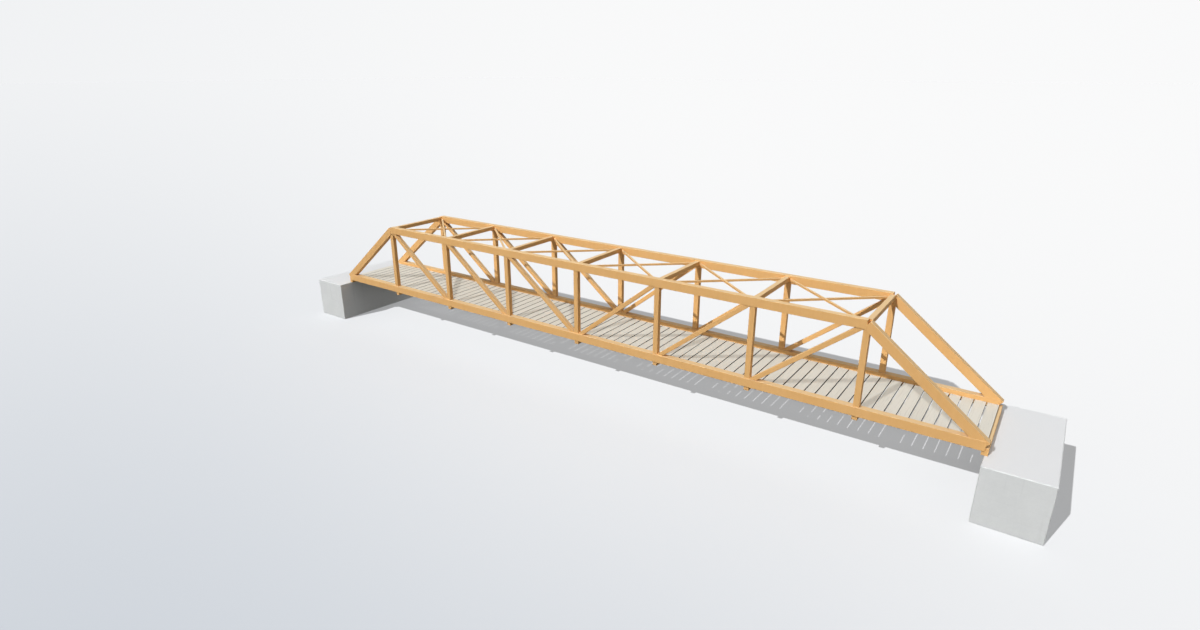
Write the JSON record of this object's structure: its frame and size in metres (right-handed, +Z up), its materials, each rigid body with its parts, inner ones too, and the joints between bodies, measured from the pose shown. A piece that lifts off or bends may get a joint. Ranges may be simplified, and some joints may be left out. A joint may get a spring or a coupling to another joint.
{
  "type": "steel truss footbridge",
  "caption": "Footbridge of two parallel steel trusses with sloping end posts, cross-braced top, a plank deck between the bottom chords and a plain concrete abutment block under each end.",
  "frame": {"origin": "on the ground under the middle of the span, on the centre line of the deck", "axes": "+X along the bridge, +Y across it away from the front truss, +Z up"},
  "size_m": [33.8, 4.773, 5.359],
  "materials": {
    "steel_paint": "satin tan paint",
    "deck_boards": "pale weathered planks",
    "deck_bolts": "dull galvanised bolt heads",
    "concrete": "smooth cast concrete"
  },
  "bodies": {
    "root": {"abutment_left": "concrete", "abutment_right": "concrete", "bottom_chord_front": "steel_paint", "bottom_chord_back": "steel_paint", "top_chord_front": "steel_paint", "top_chord_back": "steel_paint", "end_post_front_left": "steel_paint", "end_post_front_right": "steel_paint", "end_post_back_left": "steel_paint", "end_post_back_right": "steel_paint", "posts_front": "steel_paint", "posts_back": "steel_paint", "diagonals_front": "steel_paint", "diagonals_back": "steel_paint", "floor_beam_1": "steel_paint", "floor_beam_2": "steel_paint", "floor_beam_3": "steel_paint", "floor_beam_4": "steel_paint", "floor_beam_5": "steel_paint", "floor_beam_6": "steel_paint", "floor_beam_7": "steel_paint", "floor_beam_8": "steel_paint", "floor_beam_9": "steel_paint", "top_strut_1": "steel_paint", "top_strut_2": "steel_paint", "top_strut_3": "steel_paint", "top_strut_4": "steel_paint", "top_strut_5": "steel_paint", "top_strut_6": "steel_paint", "top_strut_7": "steel_paint", "wind_braces_through": "steel_paint", "wind_braces_halved": "steel_paint", "deck_ledgers_front": "steel_paint", "deck_ledgers_back": "steel_paint", "deck_bay_1": "deck_boards", "deck_bay_2": "deck_boards", "deck_bay_3": "deck_boards", "deck_bay_4": "deck_boards", "deck_bay_5": "deck_boards", "deck_bay_6": "deck_boards", "deck_bay_7": "deck_boards", "deck_bay_8": "deck_boards"}
  },
  "joints": []
}
